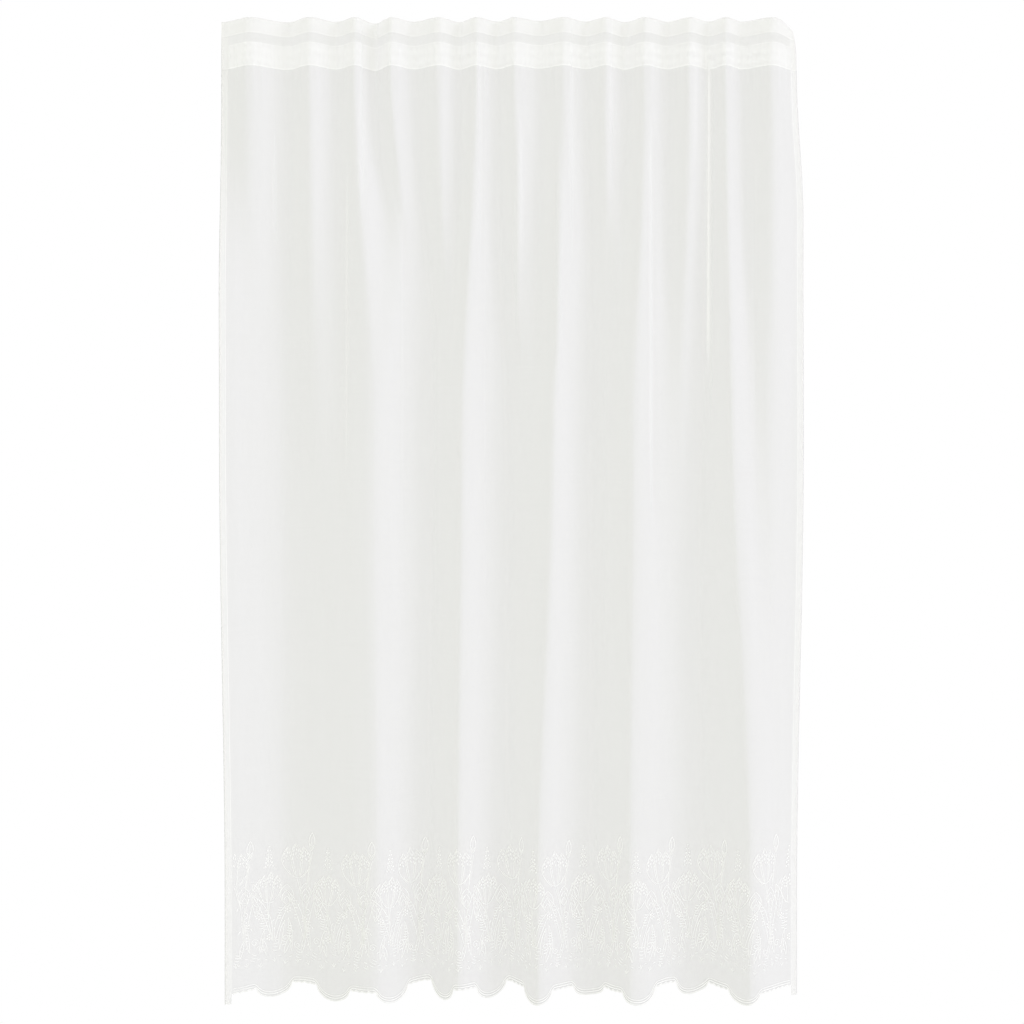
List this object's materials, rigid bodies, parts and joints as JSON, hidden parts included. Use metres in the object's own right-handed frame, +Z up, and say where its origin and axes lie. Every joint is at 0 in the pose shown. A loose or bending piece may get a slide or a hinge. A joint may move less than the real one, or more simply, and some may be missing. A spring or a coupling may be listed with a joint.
{
  "type": "lace curtain",
  "caption": "Sheer curtain panel hanging in soft folds from its top edge, with a sewn heading tape and a scalloped, embroidered hem.",
  "frame": {"origin": "middle of the top edge of the cloth, where it is held up", "axes": "+Z up along the drop, +X to the viewer's right along the width, +Y away from the viewer through the folds"},
  "size_m": [1.4672, 0.1089, 2.45],
  "materials": {
    "cloth": "sheer off-white voile, matt",
    "tape": "dense off-white woven tape, matt"
  },
  "bodies": {
    "root": {"lace_panel": "cloth", "heading_tape": "tape"}
  },
  "joints": []
}
